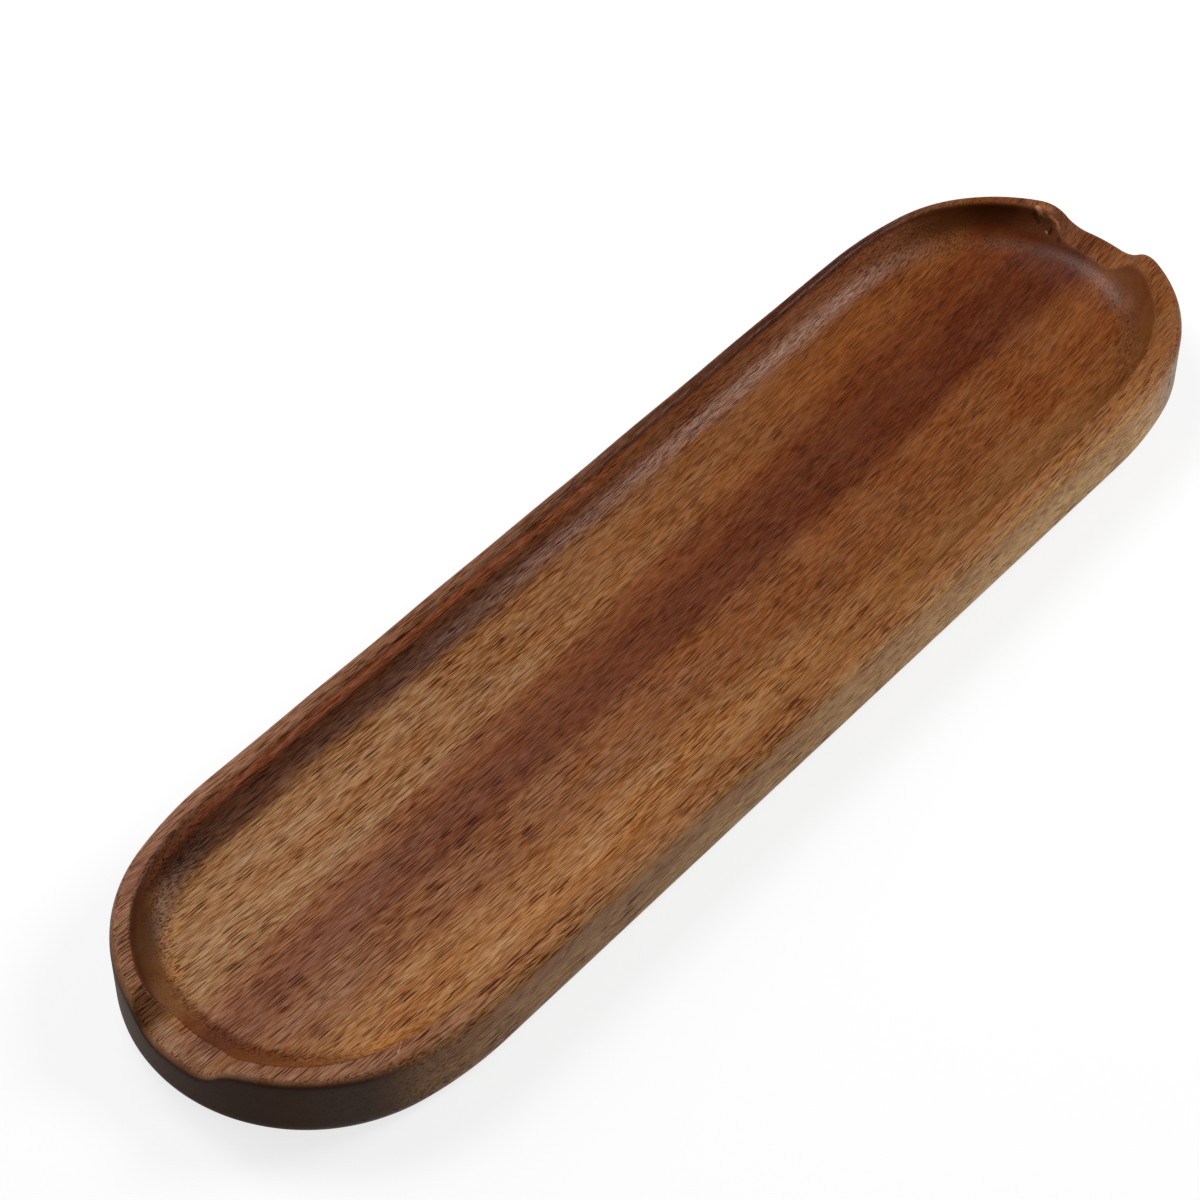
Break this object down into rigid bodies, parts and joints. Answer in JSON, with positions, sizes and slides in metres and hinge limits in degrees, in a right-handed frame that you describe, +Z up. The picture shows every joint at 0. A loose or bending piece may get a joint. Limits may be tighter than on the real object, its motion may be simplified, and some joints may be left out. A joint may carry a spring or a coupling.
{
  "type": "pen tray",
  "caption": "Long wooden pen tray with oval ends, carved from one board, with a dished recess and a finger scoop across the rim at each end.",
  "frame": {"origin": "under the middle of the tray, on its flat underside", "axes": "+X along the tray, towards the end with the small knot; +Y across it; +Z up out of the recess"},
  "size_m": [0.225, 0.06, 0.0125],
  "materials": {
    "wood": "satin oil"
  },
  "bodies": {
    "root": {"tray_board": "wood"}
  },
  "joints": []
}
